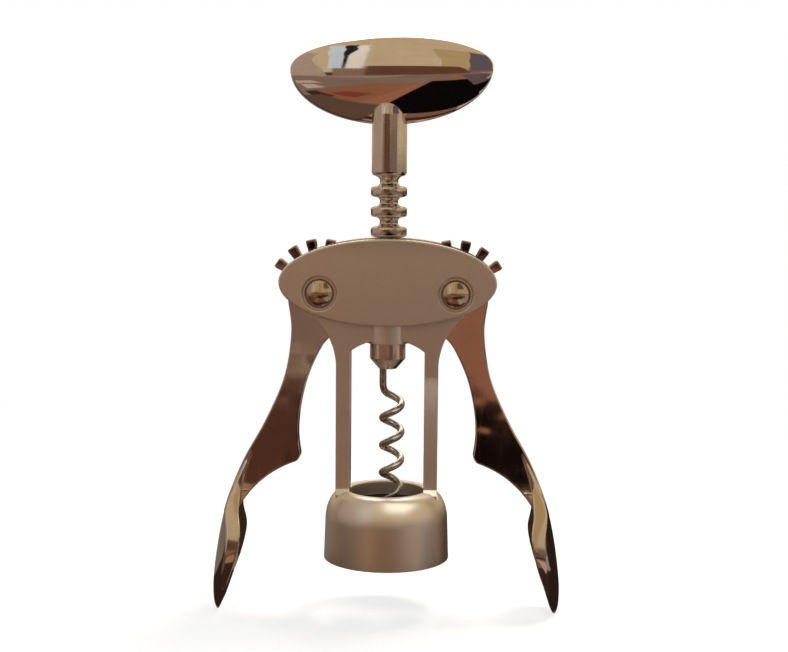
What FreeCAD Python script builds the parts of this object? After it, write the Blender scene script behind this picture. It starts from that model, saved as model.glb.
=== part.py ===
import FreeCAD, Part
import math
import os

from FreeCAD import Base

# Wing corkscrew, in millimetres. The origin is the centre of the bell's mouth, +Z points up to the
# handle, +X to the right wing and -Y to the front cover plate. The wings hang in their lowest place.

# Clearances
running_clearance = 0.06
side_play = 0.1
seat_clearance = 0.05
pocket_clearance = 0.35

# Gears of the wings, which mesh with the rack
pivot_height = 79.6
pitch_radius = 15.0
teeth_per_turn = 16
pressure_angle = 13.0
gear_addendum = 0.6
gear_tooth_depth = 3.9
backlash = 0.12
mesh_angle = 11.5
first_tooth = -2
last_tooth = 6
rack_pitch = 2 * math.pi * pitch_radius / teeth_per_turn
gear_outer_radius = pitch_radius + gear_addendum
gear_root_radius = gear_outer_radius - gear_tooth_depth
pocket_radius = gear_outer_radius + pocket_clearance

# Rack spindle
ring_radius = 5.3
ring_addendum = 0.5
core_radius = 2.7
ring_chamfer = 0.35
root_fillet = 0.5
stem_relief = 0.15
stem_edge_round = 1.2
spindle_tail = 22.7
nose_radius = 2.6
nose_height = 3.1
stem_radius = ring_radius - stem_relief
spindle_bottom = pivot_height - spindle_tail
pitch_line_radius = ring_radius - ring_addendum
pivot_half_spacing = pitch_line_radius + pitch_radius
lowest_groove = first_tooth + 1
highest_groove = last_tooth - 1

# Handle, an egg-shaped lens that stands on edge
handle_half_width = 30.35
handle_above_pivots = 65.25
handle_rise = 9.2
handle_drop = 16.3
handle_half_depth = 5.6
handle_turn = -12.0
handle_bulge_share = 0.5
stem_dome_drop = 13.5
handle_centre_height = pivot_height + handle_above_pivots
stem_dome_centre = handle_centre_height - stem_dome_drop

# Worm, a right-handed wire helix on a straight shank, a little off the axis of the spindle
wire_radius = 1.05
worm_radius = 2.8
worm_pitch = 8.3
worm_first_drop = 10.7
worm_offset = 1.4
worm_turns = 2.75
worm_point_turns = 0.7
worm_point_radius = 0.18
worm_shank_angle = 170.0
worm_bend_radius = 5.0
worm_socket_depth = 10.0
path_steps_per_turn = 4
worm_right_height = spindle_bottom - worm_first_drop

# Head of the frame, its cover plates and the slot for the wings
head_end_margin = 11.85
head_rise = 3.2
head_trim = 2.9
cover_thickness = 1.6
cover_edge_round = 0.45
pad_inset = 1.0
pad_wall = 0.74
wing_thickness = 5.0
washer_thickness = 0.3
washer_width = 2.5
boss_wall = 0.9
slot_half = wing_thickness / 2 + side_play + washer_thickness
bore_radius = ring_radius + running_clearance
boss_radius = bore_radius + boss_wall
pad_half_depth = boss_radius + pad_wall
cover_face = pad_half_depth + cover_thickness
head_height = pivot_height + head_rise
head_half_length = pivot_half_spacing + head_end_margin
head_half_height = gear_outer_radius - head_trim
head_top = head_height + head_half_height

# Bell and its liner, sized from the bottle's mouth
bottle_bore_radius = 15.4
liner_wall = 1.0
liner_flange_width = 3.9
liner_flange_thickness = 1.3
bell_wall = 1.9
bell_mouth_flare = 0.4
bell_waist_height = 11.5
bell_height = 20.5
bell_crown_wall = 4.1
bell_crown_width = 1.4
bell_lip_chamfer = 0.4
shoulder_steps = 6
bell_bore_radius = bottle_bore_radius + liner_wall
bell_waist_radius = bell_bore_radius + bell_wall
bell_mouth_radius = bell_waist_radius + bell_mouth_flare
bell_ceiling = bell_height - bell_crown_wall

# Web, window and legs
web_cheek = 2.0
web_shoulder_reach = 2.6
web_shoulder_drop = 6.6
web_waist_reach = 2.35
web_waist_drop = 12.7
leg_inset = 3.25
leg_width = 4.1
leg_curve_drop = 3.8
window_drop = 14.3
window_arch = 3.0
window_crown_x = 5.0
window_corner_rise = 0.4
boss_overhang = 0.7
foot_depth = 2.8
foot_flare = 1.1
foot_flare_height = 1.6
neck_step = 0.4
web_half_depth = slot_half + web_cheek
leg_outer = bell_waist_radius - leg_inset
leg_inner = leg_outer - leg_width
window_crown = pivot_height - window_drop
window_spring = window_crown - window_arch
leg_top = window_spring - leg_curve_drop
boss_bottom = window_crown - boss_overhang
foot_socket_height = bell_height - foot_depth
bell_neck_radius = leg_inner + neck_step
bell_crown_radius = bell_neck_radius + bell_crown_width

# Pivot rivets
rivet_radius = 2.5
rivet_stud_radius = 1.25
rivet_stud_length = 7.0
dome_overhang = 1.8
dome_height = 2.2
recess_gap = 0.65
recess_depth = 0.8
recess_chamfer = 0.3
washer_radius = rivet_radius + washer_width
dome_radius = rivet_radius + dome_overhang
recess_radius = dome_radius + recess_gap
recess_floor = cover_face - recess_depth

# Guide bush and its retaining ring, in the top of the head
bush_wall = 0.7
bush_length = 2.9
bush_seat_depth = 5.75
retainer_thickness = 0.7
bush_outer_radius = bore_radius + bush_wall
bush_seat_radius = bush_outer_radius + seat_clearance
bush_floor = head_top - bush_seat_depth

# Wings, in the pivot's own frame: x outward from the head, z up
wing_shoulder = (9.6, -3.0)
wing_outer_edge = [(8.7, -12.0), (10.7, -25.0), (16.2, -38.0), (22.8, -50.0), (27.2, -60.5)]
wing_end_outer = (28.9, -66.0)
wing_end_inner = (24.2, -64.8)
wing_sweep_middle = (15.1, -54.7)
wing_hip = (5.9, -50.3)
wing_hip_round = 1.6
wing_hip_drop = 0.533
wing_inner_edge = [(6.6, -42.0), (5.9, -34.0), (3.7, -25.0), (-0.1, -16.7)]
wing_throat = (-2.7, -13.4)

# Stations of the leaf: outer crest, inner rim, half width, rim thickness
leaf_stations = [
    ((22.8, -50.0), (21.4, -50.6), 2.4, 1.0),
    ((26.1, -57.5), (23.3, -58.5), 3.4, 2.3),
    ((28.5, -64.5), (23.9, -65.2), 5.6, 3.9),
    ((30.3, -72.5), (23.2, -72.2), 8.3, 3.9),
    ((31.6, -80.8), (24.8, -80.0), 9.3, 3.0),
    ((32.3, -88.0), (27.3, -87.3), 8.2, 1.3),
    ((32.2, -93.4), (29.2, -93.1), 5.2, 0.8),
    ((31.5, -96.2), (30.6, -96.2), 1.7, 0.5),
]
leaf_hollow_share = 0.12


def vector(x, z, y=0.0):
    return Base.Vector(x, y, z)


def line(start, end):
    return Part.LineSegment(start, end).toShape()


def arc(start, middle, end):
    return Part.Arc(start, middle, end).toShape()


def curve(points):
    spline = Part.BSplineCurve()
    spline.interpolate(points)
    return spline.toShape()


def polygon(points):
    return Part.makePolygon(points + [points[0]])


def slab(wire, half_depth):
    face = Part.Face(wire)
    face.translate(Base.Vector(0, -half_depth, 0))
    return face.extrude(Base.Vector(0, 2 * half_depth, 0))


def turned(points):
    # A solid of revolution about Z from (radius, height) points.
    face = Part.Face(polygon([vector(radius, height) for radius, height in points]))
    return face.revolve(Base.Vector(0, 0, 0), Base.Vector(0, 0, 1), 360)


def upright_cylinder(radius, bottom, top):
    return Part.makeCylinder(radius, top - bottom, vector(0, bottom))


def cross_cylinder(radius, x, z, front, rear):
    return Part.makeCylinder(radius, rear - front, vector(x, z, front), Base.Vector(0, 1, 0))


def mirrored(shape):
    return shape.mirror(Base.Vector(0, 0, 0), Base.Vector(1, 0, 0))


def reversed_front(shape):
    return shape.mirror(Base.Vector(0, 0, 0), Base.Vector(0, 1, 0))


def ellipse_wire(half_length, half_height):
    ellipse = Part.Ellipse(vector(0, head_height), half_length, half_height)
    shape = ellipse.toShape()
    shape.rotate(vector(0, head_height), Base.Vector(1, 0, 0), 90)
    return Part.Wire(shape)


# Rack spindle: a rod with grooves all round, so it turns freely while the gears move it

def groove_height(number):
    return pivot_height + pitch_radius * math.radians(mesh_angle) + number * rack_pitch


def groove_half(radius):
    flank = (radius - pitch_line_radius) * math.tan(math.radians(pressure_angle))
    return (rack_pitch / 2 + backlash) / 2 + flank


def groove_side(number, side):
    # One flank of a groove, from the ring's rim down to the core.
    height = groove_height(number)
    shoulder = ring_radius - ring_chamfer
    foot = core_radius + root_fillet
    return [
        (ring_radius, height + side * (groove_half(ring_radius) + ring_chamfer)),
        (shoulder, height + side * groove_half(shoulder)),
        (foot, height + side * groove_half(foot)),
        (core_radius, height + side * (groove_half(core_radius) - root_fillet)),
    ]


def spindle_blank():
    points = [(0, spindle_bottom), (nose_radius, spindle_bottom), (ring_radius, spindle_bottom + nose_height)]
    for number in range(lowest_groove, highest_groove + 1):
        points += groove_side(number, -1)
        points += groove_side(number, 1)[::-1]
    points = points[:-1]
    stem_bottom = groove_height(highest_groove) + groove_half(stem_radius)
    points[-1] = (stem_radius - stem_edge_round, stem_bottom)
    edges = [line(vector(*points[i]), vector(*points[i + 1])) for i in range(len(points) - 1)]
    round_centre = vector(stem_radius - stem_edge_round, stem_bottom + stem_edge_round)
    slant = stem_edge_round * math.sqrt(0.5)
    edges.append(arc(vector(*points[-1]), round_centre + vector(slant, -slant),
                     vector(stem_radius, stem_bottom + stem_edge_round)))
    edges.append(line(vector(stem_radius, stem_bottom + stem_edge_round), vector(stem_radius, stem_dome_centre)))
    dome_slant = stem_radius * math.sqrt(0.5)
    apex = vector(0, stem_dome_centre + stem_radius)
    edges.append(arc(vector(stem_radius, stem_dome_centre), vector(dome_slant, stem_dome_centre + dome_slant), apex))
    edges.append(line(apex, vector(0, spindle_bottom)))
    face = Part.Face(Part.Wire(edges))
    return face.revolve(Base.Vector(0, 0, 0), Base.Vector(0, 0, 1), 360)


def worm_axis_point(angle, height):
    turn = math.radians(angle)
    return vector(worm_offset + worm_radius * math.cos(turn), height, worm_radius * math.sin(turn))


def rack_spindle():
    shank = worm_axis_point(worm_shank_angle, spindle_bottom)
    socket = Part.makeCylinder(wire_radius, worm_socket_depth, shank)
    return spindle_blank().cut(socket)


# Handle

def half_ellipsoid(half_height, offset, upper):
    share = math.sqrt(1 - handle_bulge_share ** 2)
    half_thick = handle_half_depth / (1 - handle_bulge_share)
    first, last = (0, 90) if upper else (-90, 0)
    unit = Part.makeSphere(1.0, Base.Vector(0, 0, 0), Base.Vector(0, 0, 1), first, last, 360)
    scale = Base.Matrix()
    scale.scale(handle_half_width / share, half_thick, half_height / share)
    shape = unit.transformGeometry(scale)
    shape.translate(Base.Vector(0, offset * half_thick * handle_bulge_share, 0))
    return shape


def handle():
    front = half_ellipsoid(handle_rise, 1, True).common(half_ellipsoid(handle_rise, -1, True))
    lower = half_ellipsoid(handle_drop, 1, False).common(half_ellipsoid(handle_drop, -1, False))
    lens = front.fuse(lower)
    lens.rotate(Base.Vector(0, 0, 0), Base.Vector(0, 0, 1), handle_turn)
    lens.translate(vector(0, handle_centre_height))
    return lens.cut(spindle_blank())


# Worm

def bend_through(start, direction, end):
    # The circular arc that leaves start along direction and ends at end.
    chord = end - start
    ahead = Base.Vector(direction).normalize()
    sideways = chord - ahead * chord.dot(ahead)
    radius = chord.Length ** 2 / (2 * sideways.Length)
    centre = start + sideways.normalize() * radius
    middle = (start - centre) + (end - centre)
    return arc(start, centre + middle.normalize() * radius, end)


def biarc(start, start_direction, end, end_direction):
    # Two arcs that join smoothly and keep both end directions.
    chord = end - start
    first = Base.Vector(start_direction).normalize()
    last = Base.Vector(end_direction).normalize()
    total = first + last
    a = 2 * (1 - first.dot(last))
    b = 2 * chord.dot(total)
    reach = (-b + math.sqrt(b * b + 4 * a * chord.dot(chord))) / (2 * a)
    joint = (start + first * reach + end - last * reach) * 0.5
    return [bend_through(start, first, joint), bend_through(end, last * -1, joint)]


def helix_state(turns):
    # Place and downward direction on the helix, counted in turns below the first right-hand crossing.
    angle = -360.0 * turns
    height = worm_right_height - worm_pitch * turns
    place = worm_axis_point(angle, height)
    side = math.radians(angle)
    step = 2 * math.pi * worm_radius
    direction = Base.Vector(step * math.sin(side), -step * math.cos(side), -worm_pitch)
    return place, direction


def bend_state(share, start_height):
    # Place and direction in the bend between the shank and the helix, which lies on the same cylinder.
    lead = math.atan2(worm_pitch, 2 * math.pi * worm_radius)
    tilt = share * (math.pi / 2 - lead)
    around = worm_bend_radius * (1 - math.cos(tilt))
    height = start_height - worm_bend_radius * math.sin(tilt)
    angle = worm_shank_angle - math.degrees(around / worm_radius)
    side = math.radians(angle)
    direction = Base.Vector(math.sin(side) * math.sin(tilt), -math.cos(side) * math.sin(tilt), -math.cos(tilt))
    return worm_axis_point(angle, height), direction, angle


def swept_wire(edges, start, direction, radius, end_section=None):
    path = Part.Wire(edges)
    section = Part.Wire(Part.makeCircle(radius, start, direction))
    pipe = Part.BRepOffsetAPI.MakePipeShell(path)
    pipe.add(section)
    if end_section:
        pipe.add(end_section)
    pipe.build()
    pipe.makeSolid()
    return pipe.shape()


def worm():
    end_bend, _, end_angle = bend_state(1.0, 0.0)
    first_turns = -end_angle / 360.0
    bend_end_height = worm_right_height - worm_pitch * first_turns
    bend_start_height = bend_end_height - end_bend.z
    top = spindle_bottom + worm_socket_depth
    states = [bend_state(share, bend_start_height)[:2] for share in (0.0, 0.5, 1.0)]
    steps = math.ceil((worm_turns - first_turns) * path_steps_per_turn)
    states += [helix_state(first_turns + (worm_turns - first_turns) * (i + 1) / steps) for i in range(steps)]
    shank_top = worm_axis_point(worm_shank_angle, top)
    edges = [line(shank_top, states[0][0])]
    for before, after in zip(states, states[1:]):
        edges += biarc(before[0], before[1], after[0], after[1])
    body = swept_wire(edges, shank_top, Base.Vector(0, 0, -1), wire_radius)

    point_steps = math.ceil(worm_point_turns * path_steps_per_turn)
    point_states = [helix_state(worm_turns + worm_point_turns * i / point_steps) for i in range(point_steps + 1)]
    point_edges = []
    for before, after in zip(point_states, point_states[1:]):
        point_edges += biarc(before[0], before[1], after[0], after[1])
    tip = Part.Wire(Part.makeCircle(worm_point_radius, point_states[-1][0], point_states[-1][1]))
    point = swept_wire(point_edges, point_states[0][0], point_states[0][1], wire_radius, tip)
    return body.fuse(point)


# Frame

def web_and_legs():
    shoulder_x = pivot_half_spacing + web_shoulder_reach
    shoulder = vector(shoulder_x, pivot_height - web_shoulder_drop)
    waist = vector(leg_outer + web_waist_reach, pivot_height - web_waist_drop)
    outer_start = vector(shoulder_x, head_height)
    leg_start = vector(leg_outer, leg_top)
    outer_foot = vector(leg_outer, foot_socket_height)
    inner_foot = vector(leg_inner, foot_socket_height)
    spring = vector(leg_inner, window_spring)
    crown = vector(window_crown_x, window_crown)
    centre_top = vector(0, head_height)
    centre_bottom = vector(0, window_crown)
    sag = (spring + crown) * 0.5 + vector(0, window_corner_rise)
    edges = [
        line(centre_top, outer_start),
        line(outer_start, shoulder),
        arc(shoulder, waist, leg_start),
        line(leg_start, outer_foot),
        line(outer_foot, inner_foot),
        line(inner_foot, spring),
        arc(spring, sag, crown),
        line(crown, centre_bottom),
        line(centre_bottom, centre_top),
    ]
    half = slab(Part.Wire(edges), web_half_depth)
    return half.fuse(mirrored(half))


def foot_flares():
    # The small sloped facets where each leg lands on the bell's shoulder.
    top = bell_height + foot_flare_height / 2
    bottom = top - foot_flare_height
    wide = web_half_depth + foot_flare
    outline = polygon([
        vector(leg_inner, top, -web_half_depth),
        vector(leg_inner, bottom, -wide),
        vector(leg_inner, foot_socket_height, -wide),
        vector(leg_inner, foot_socket_height, wide),
        vector(leg_inner, bottom, wide),
        vector(leg_inner, top, web_half_depth),
    ])
    flare = Part.Face(outline).extrude(vector(leg_width, 0))
    return flare.fuse(mirrored(flare))


def wing_pocket():
    # The space of the right wing between the two cheeks, open to the outside.
    disc = cross_cylinder(pocket_radius, pivot_half_spacing, pivot_height, -slot_half, slot_half)
    reach = head_half_length + pivot_half_spacing
    below = pivot_height - 2 * pocket_radius
    above = pivot_height + 2 * pocket_radius
    gate = polygon([
        vector(pivot_half_spacing, above),
        vector(reach, above),
        vector(reach, below),
        vector(leg_outer + pocket_clearance, below),
        vector(leg_outer + pocket_clearance, pivot_height - pocket_radius),
        vector(pivot_half_spacing, pivot_height),
    ])
    return disc.fuse(slab(gate, slot_half))


def frame_casting():
    pad = slab(ellipse_wire(head_half_length - pad_inset, head_half_height - pad_inset), pad_half_depth)
    boss = upright_cylinder(boss_radius, boss_bottom, head_height)
    body = pad.fuse([web_and_legs(), foot_flares(), boss])
    pocket = wing_pocket()
    cuts = [pocket, mirrored(pocket), upright_cylinder(bore_radius, boss_bottom, head_top),
            upright_cylinder(bush_seat_radius, bush_floor, head_top)]
    for side in (-1, 1):
        cuts.append(cross_cylinder(rivet_radius, side * pivot_half_spacing, pivot_height,
                                   -pad_half_depth, pad_half_depth))
    return body.cut(cuts).removeSplitter()


def rounded_edges(shape, radius, y):
    rim = [edge for edge in shape.Edges if all(abs(v.Point.y - y) < 0.001 for v in edge.Vertexes)]
    return shape.makeFillet(radius, rim)


def front_cover_plate():
    plate = slab(ellipse_wire(head_half_length, head_half_height), cover_thickness / 2)
    plate.translate(Base.Vector(0, -pad_half_depth - cover_thickness / 2, 0))
    plate = rounded_edges(plate, cover_edge_round, -cover_face)
    for side in (-1, 1):
        x = side * pivot_half_spacing
        hole = cross_cylinder(rivet_radius, x, pivot_height, -cover_face, -pad_half_depth)
        recess = cross_cylinder(recess_radius, x, pivot_height, -cover_face, -recess_floor)
        mouth = Part.makeCone(recess_radius + recess_chamfer, recess_radius, recess_chamfer,
                              vector(x, pivot_height, -cover_face), Base.Vector(0, 1, 0))
        plate = plate.cut([hole, recess, mouth])
    return plate


def dome(x):
    # A domed head whose flat side lies on the recess floor of the front cover plate.
    ball_radius = (dome_radius ** 2 + dome_height ** 2) / (2 * dome_height)
    centre_y = -recess_floor - dome_height + ball_radius
    ball = Part.makeSphere(ball_radius, vector(x, pivot_height, centre_y))
    space = cross_cylinder(dome_radius, x, pivot_height, -recess_floor - dome_height, -recess_floor)
    return ball.common(space)


def pivot_rivet(x):
    barrel = cross_cylinder(rivet_radius, x, pivot_height, -recess_floor, recess_floor)
    bore = cross_cylinder(rivet_stud_radius, x, pivot_height, recess_floor - rivet_stud_length, recess_floor)
    return dome(x).fuse(barrel).cut(bore)


def rivet_cap(x):
    stud = cross_cylinder(rivet_stud_radius, x, pivot_height, recess_floor - rivet_stud_length, recess_floor)
    return reversed_front(dome(x)).fuse(stud)


def pivot_washers():
    washers = []
    for side in (-1, 1):
        for front in (-slot_half, slot_half - washer_thickness):
            x = side * pivot_half_spacing
            disc = cross_cylinder(washer_radius, x, pivot_height, front, front + washer_thickness)
            hole = cross_cylinder(rivet_radius, x, pivot_height, front, front + washer_thickness)
            washers.append(disc.cut(hole))
    return Part.makeCompound(washers)


def tube(inner, outer, bottom, top):
    return upright_cylinder(outer, bottom, top).cut(upright_cylinder(inner, bottom, top))


def guide_bush():
    return tube(bore_radius, bush_outer_radius, bush_floor + seat_clearance, bush_floor + bush_length)


def bush_retainer():
    bottom = bush_floor + bush_length + side_play
    return tube(bore_radius + running_clearance, bush_seat_radius, bottom, bottom + retainer_thickness)


# Bell

def bell():
    spread = bell_waist_radius - bell_crown_radius
    rise = bell_height - bell_waist_height
    turns = [math.pi / 2 * step / shoulder_steps for step in range(shoulder_steps + 1)]
    shoulder = [vector(bell_crown_radius + spread * math.cos(turn), bell_waist_height + rise * math.sin(turn))
                for turn in turns]
    mouth = vector(bell_mouth_radius, 0)
    lip = vector(bell_bore_radius + bell_lip_chamfer, 0)
    bore_start = vector(bell_bore_radius, bell_lip_chamfer)
    bore_end = vector(bell_bore_radius, bell_ceiling)
    neck_bottom = vector(bell_neck_radius, bell_ceiling)
    neck_top = vector(bell_neck_radius, bell_height - bell_lip_chamfer)
    neck_edge = vector(bell_neck_radius + bell_lip_chamfer, bell_height)
    edges = [line(mouth, shoulder[0]), curve(shoulder), line(shoulder[-1], neck_edge), line(neck_edge, neck_top),
             line(neck_top, neck_bottom), line(neck_bottom, bore_end), line(bore_end, bore_start),
             line(bore_start, lip), line(lip, mouth)]
    shell = Part.Face(Part.Wire(edges)).revolve(Base.Vector(0, 0, 0), Base.Vector(0, 0, 1), 360)
    return shell.cut(foot_flares().fuse(web_and_legs()))


def bell_liner():
    flange_radius = bell_bore_radius - liner_flange_width
    seat = bell_ceiling - liner_flange_thickness
    return turned([(bottle_bore_radius, 0), (bell_bore_radius, 0), (bell_bore_radius, bell_ceiling),
                   (flange_radius, bell_ceiling), (flange_radius, seat), (bottle_bore_radius, seat)])


# Wings

def gear_point(radius, angle):
    return vector(-radius * math.cos(angle), radius * math.sin(angle))


def tooth_edges(centre):
    # One tooth as root, involute flank, tip and involute flank, from below to above its centre line.
    pressure = math.radians(pressure_angle)
    base_radius = pitch_radius * math.cos(pressure)
    pitch_half = (rack_pitch / 2 - backlash) / 2 / pitch_radius
    base_half = pitch_half + math.tan(pressure) - pressure

    def half_angle(radius):
        roll = math.acos(base_radius / radius)
        return base_half - (math.tan(roll) - roll)

    middle_radius = (base_radius + gear_outer_radius) / 2
    root_low = gear_point(gear_root_radius, centre - base_half)
    base_low = gear_point(base_radius, centre - base_half)
    middle_low = gear_point(middle_radius, centre - half_angle(middle_radius))
    tip_low = gear_point(gear_outer_radius, centre - half_angle(gear_outer_radius))
    tip_middle = gear_point(gear_outer_radius, centre)
    tip_high = gear_point(gear_outer_radius, centre + half_angle(gear_outer_radius))
    middle_high = gear_point(middle_radius, centre + half_angle(middle_radius))
    base_high = gear_point(base_radius, centre + base_half)
    root_high = gear_point(gear_root_radius, centre + base_half)
    edges = [line(root_low, base_low), arc(base_low, middle_low, tip_low), arc(tip_low, tip_middle, tip_high),
             arc(tip_high, middle_high, base_high), line(base_high, root_high)]
    return edges, root_low, root_high


def wing_web():
    step = 2 * math.pi / teeth_per_turn
    start = math.radians(mesh_angle)
    edges = []
    previous = None
    first = None
    for number in range(first_tooth, last_tooth + 1):
        tooth, low, high = tooth_edges(start + number * step)
        if previous is None:
            first = low
        else:
            edges.append(arc(previous, gear_point(gear_root_radius, start + (number - 0.5) * step), low))
        edges += tooth
        previous = high
    shoulder = vector(*wing_shoulder)
    throat = vector(*wing_throat)
    end_outer = vector(*wing_end_outer)
    end_inner = vector(*wing_end_inner)
    hip = vector(*wing_hip)
    hip_side = hip + vector(0, wing_hip_round)
    sweep_start = hip + vector(wing_hip_round, -wing_hip_drop)
    edges.append(line(previous, shoulder))
    edges.append(curve([shoulder] + [vector(*p) for p in wing_outer_edge] + [end_outer]))
    edges.append(line(end_outer, end_inner))
    edges.append(arc(end_inner, vector(*wing_sweep_middle), sweep_start))
    corner = (hip_side + sweep_start + hip) * (1 / 3)
    edges.append(arc(sweep_start, corner, hip_side))
    edges.append(curve([hip_side] + [vector(*p) for p in wing_inner_edge] + [throat]))
    edges.append(line(throat, first))
    return slab(Part.Wire(Part.__sortEdges__(edges)), wing_thickness / 2)


def leaf_section(station):
    crest, rim, half_width, rim_thickness = station
    outward = vector(*crest) - vector(*rim)
    depth = outward.Length
    outward.normalize()
    inner = vector(*rim)
    front = Base.Vector(0, -half_width, 0)
    back = Base.Vector(0, half_width, 0)
    hollow = inner + outward * (depth * leaf_hollow_share)
    rim_outer = inner + outward * rim_thickness
    return Part.Wire([
        arc(inner + back, hollow, inner + front),
        line(inner + front, rim_outer + front),
        arc(rim_outer + front, inner + outward * depth, rim_outer + back),
        line(rim_outer + back, inner + back),
    ])


def right_wing():
    leaf = Part.makeLoft([leaf_section(station) for station in leaf_stations], True, False)
    wing = wing_web().fuse(leaf)
    wing.translate(vector(pivot_half_spacing, pivot_height))
    bore = cross_cylinder(rivet_radius + running_clearance, pivot_half_spacing, pivot_height,
                          -wing_thickness, wing_thickness)
    return wing.cut(bore)


def export(name, shape):
    solids = shape.Solids
    assert shape.isValid(), name
    print(name, "solids", len(solids), "volume", round(shape.Volume, 2))
    body = solids[0] if len(solids) == 1 else Part.makeCompound(solids)
    body.exportStep("parts/" + name + ".step")


os.makedirs("parts", exist_ok=True)
wing = right_wing()
front_cover = front_cover_plate()
export("frame_casting", frame_casting())
export("bell", bell())
export("bell_liner", bell_liner())
export("front_cover_plate", front_cover)
export("rear_cover_plate", reversed_front(front_cover))
export("left_pivot_rivet", pivot_rivet(-pivot_half_spacing))
export("right_pivot_rivet", pivot_rivet(pivot_half_spacing))
export("left_rivet_cap", rivet_cap(-pivot_half_spacing))
export("right_rivet_cap", rivet_cap(pivot_half_spacing))
export("pivot_washers", pivot_washers())
export("guide_bush", guide_bush())
export("bush_retainer", bush_retainer())
export("handle", handle())
export("rack_spindle", rack_spindle())
export("worm", worm())
export("left_wing", mirrored(wing))
export("right_wing", wing)
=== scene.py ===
import math

import bmesh
import bpy
from mathutils import Matrix, Vector


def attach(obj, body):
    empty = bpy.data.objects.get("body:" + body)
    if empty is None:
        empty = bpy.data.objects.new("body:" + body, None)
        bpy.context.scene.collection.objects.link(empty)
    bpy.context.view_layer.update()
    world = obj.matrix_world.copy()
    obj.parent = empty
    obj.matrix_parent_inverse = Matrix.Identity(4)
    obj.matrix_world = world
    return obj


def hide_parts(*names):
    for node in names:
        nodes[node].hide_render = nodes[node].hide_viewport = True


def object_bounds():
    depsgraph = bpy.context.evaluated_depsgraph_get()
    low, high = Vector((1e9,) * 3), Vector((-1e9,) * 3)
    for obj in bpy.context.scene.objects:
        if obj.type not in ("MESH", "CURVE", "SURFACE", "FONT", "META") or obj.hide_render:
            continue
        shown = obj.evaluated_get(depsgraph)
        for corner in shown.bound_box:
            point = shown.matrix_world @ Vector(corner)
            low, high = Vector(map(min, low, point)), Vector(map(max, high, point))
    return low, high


# Wing corkscrew, dressed for its picture: lengths in the dictionaries are millimetres, the scene is in metres

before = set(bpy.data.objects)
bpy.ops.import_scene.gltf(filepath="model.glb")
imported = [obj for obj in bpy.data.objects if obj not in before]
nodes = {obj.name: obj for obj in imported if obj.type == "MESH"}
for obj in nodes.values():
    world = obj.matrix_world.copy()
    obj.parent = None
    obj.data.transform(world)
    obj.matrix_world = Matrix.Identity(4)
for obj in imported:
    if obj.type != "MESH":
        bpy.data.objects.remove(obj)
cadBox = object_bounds()
mm = 0.001


def tint(red, green, blue):
    # a colour read off a screen, as the linear colour that a shader takes
    linear = []
    for channel in (red, green, blue):
        share = channel / 255
        linear.append(share / 12.92 if share <= 0.04045 else ((share + 0.055) / 1.055) ** 2.4)
    return (*linear, 1.0)


# Shaders as sums

class Signal:
    def __init__(self, shader, socket):
        self.shader = shader
        self.socket = socket

    def combine(self, operation, first, second):
        return self.shader.add("ShaderNodeMath", {"operation": operation}, {0: first, 1: second})

    def __add__(self, other):
        return self.combine("ADD", self, other)

    def __radd__(self, other):
        return self.combine("ADD", other, self)

    def __sub__(self, other):
        return self.combine("SUBTRACT", self, other)

    def __rsub__(self, other):
        return self.combine("SUBTRACT", other, self)

    def __mul__(self, other):
        return self.combine("MULTIPLY", self, other)


class Shader:
    def __init__(self, tree):
        self.tree = tree
        self.tree.nodes.clear()

    def add(self, kind, settings=None, values=None, output=0):
        node = self.tree.nodes.new(kind)
        for name, value in (settings or {}).items():
            if name == "stops":
                self.setStops(node.color_ramp, value)
            else:
                setattr(node, name, value)
        for name, value in (values or {}).items():
            if isinstance(value, Signal):
                self.tree.links.new(value.socket, node.inputs[name])
            else:
                node.inputs[name].default_value = value
        return Signal(self, node.outputs[output]) if len(node.outputs) else node

    def setStops(self, ramp, stops):
        while len(ramp.elements) < len(stops):
            ramp.elements.new(0.5)
        for element, (place, shade) in zip(ramp.elements, stops):
            element.position = place
            element.color = (shade, shade, shade, 1.0)

    def place(self, stretch=(1, 1, 1)):
        coordinates = self.add("ShaderNodeTexCoord", output="Object")
        return self.add("ShaderNodeMapping", values={"Vector": coordinates, "Scale": stretch})

    def noise(self, scale, detail=3.0, stretch=(1, 1, 1), roughness=0.55):
        values = {"Vector": self.place(stretch), "Scale": scale, "Detail": detail, "Roughness": roughness}
        return self.add("ShaderNodeTexNoise", values=values)

    def ramp(self, signal, low, high):
        settings = {"stops": [(low, 0.0), (high, 1.0)]}
        return self.add("ShaderNodeValToRGB", settings, {0: signal})

    def blend(self, share, first, second):
        settings = {"data_type": "RGBA"}
        return self.add("ShaderNodeMix", settings, {0: share, 6: first, 7: second}, output=2)

    def bump(self, height, strength, distance, normal=None):
        values = {"Height": height, "Strength": strength, "Distance": distance}
        if normal:
            values["Normal"] = normal
        return self.add("ShaderNodeBump", values=values)

    def edgeNormal(self, radius):
        return self.add("ShaderNodeBevel", {"samples": 6}, {"Radius": radius})

    def cornerMask(self, reach):
        # 0 in the open, towards 1 deep in corners and gaps
        openness = self.add("ShaderNodeAmbientOcclusion", {"samples": 8}, {"Distance": reach}, output="AO")
        return self.ramp(1.0 - openness, 0.3, 0.85)

    def edgeMask(self, rounded):
        # 0 on the flats, towards 1 where the rounded normal leaves the true one
        flat = self.add("ShaderNodeNewGeometry", output="Normal")
        settings = {"operation": "DOT_PRODUCT"}
        same = self.add("ShaderNodeVectorMath", settings, {0: rounded, 1: flat}, output="Value")
        return self.ramp(1.0 - same, 0.01, 0.22)


def newFinish(name):
    material = bpy.data.materials.new(name)
    material.use_nodes = True
    return material, Shader(material.node_tree)


def closeFinish(shader, values):
    surface = shader.add("ShaderNodeBsdfPrincipled", values=values)
    shader.add("ShaderNodeOutputMaterial", values={"Surface": surface})


# Finishes

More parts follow.
